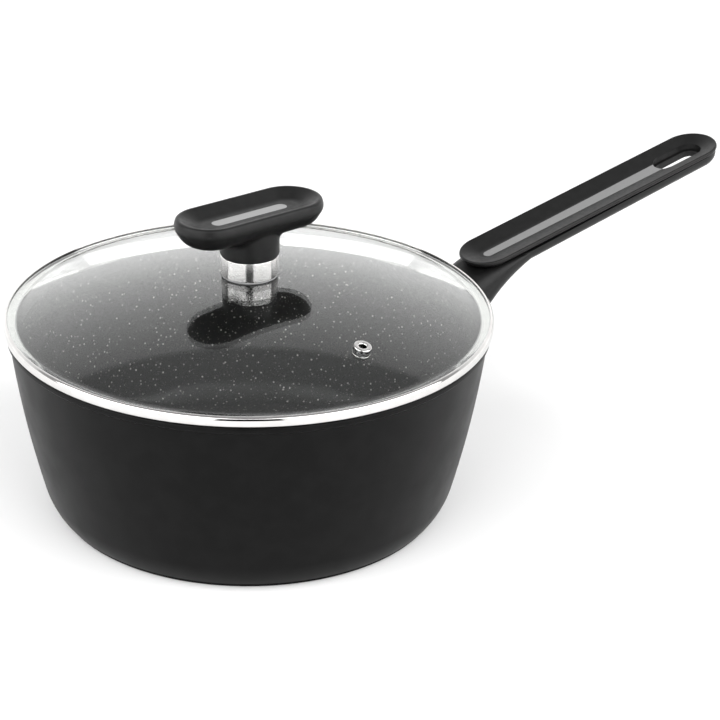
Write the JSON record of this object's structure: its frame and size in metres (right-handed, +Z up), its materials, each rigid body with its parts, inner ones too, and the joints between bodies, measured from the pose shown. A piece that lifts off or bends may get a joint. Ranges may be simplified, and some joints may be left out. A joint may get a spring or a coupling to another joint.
{
  "type": "saucepan with glass lid",
  "caption": "Black non-stick saucepan with a long dished handle, and a domed glass lid with a steel rim, steam vent and oval black knob.",
  "frame": {"origin": "centre of the pot's flat base, on the surface it stands on", "axes": "+Z up along the pot's axis, +X along the handle's direction, away from the pot"},
  "size_m": [0.3701, 0.2096, 0.1345],
  "materials": {
    "pot_coating": "matte black non-stick coating over aluminium",
    "base_steel": "turned",
    "lug_aluminium": "cast",
    "soft_black": "soft-touch matte",
    "handle_grey": "satin",
    "knob_grey": "satin",
    "fastener_steel": "plain",
    "polished_steel": "polished stainless steel",
    "lid_glass": "clear tempered",
    "sealant": "silicone",
    "seal_rubber": "silicone",
    "insert_brass": "machined"
  },
  "bodies": {
    "pan": {"pot_body": "pot_coating", "induction_disc": "base_steel", "handle_lug": "lug_aluminium", "handle_grip": "soft_black", "handle_inlay": "handle_grey", "handle_screw": "fastener_steel", "handle_spring_washer": "fastener_steel"},
    "lid": {"lid_glass": "lid_glass", "lid_rim": "polished_steel", "rim_sealant": "sealant", "vent_eyelet": "polished_steel", "vent_washers": "seal_rubber", "knob_body": "soft_black", "knob_inlay": "knob_grey", "knob_ferrule": "polished_steel", "knob_insert": "insert_brass", "knob_gasket_upper": "seal_rubber", "knob_gasket_lower": "seal_rubber", "knob_washer": "fastener_steel", "knob_screw": "fastener_steel"}
  },
  "joints": [
    {"name": "lid_lift", "type": "slide", "parent": "pan", "child": "lid", "axis": [0, 0, 1], "range_m": [0, 0.12]}
  ]
}
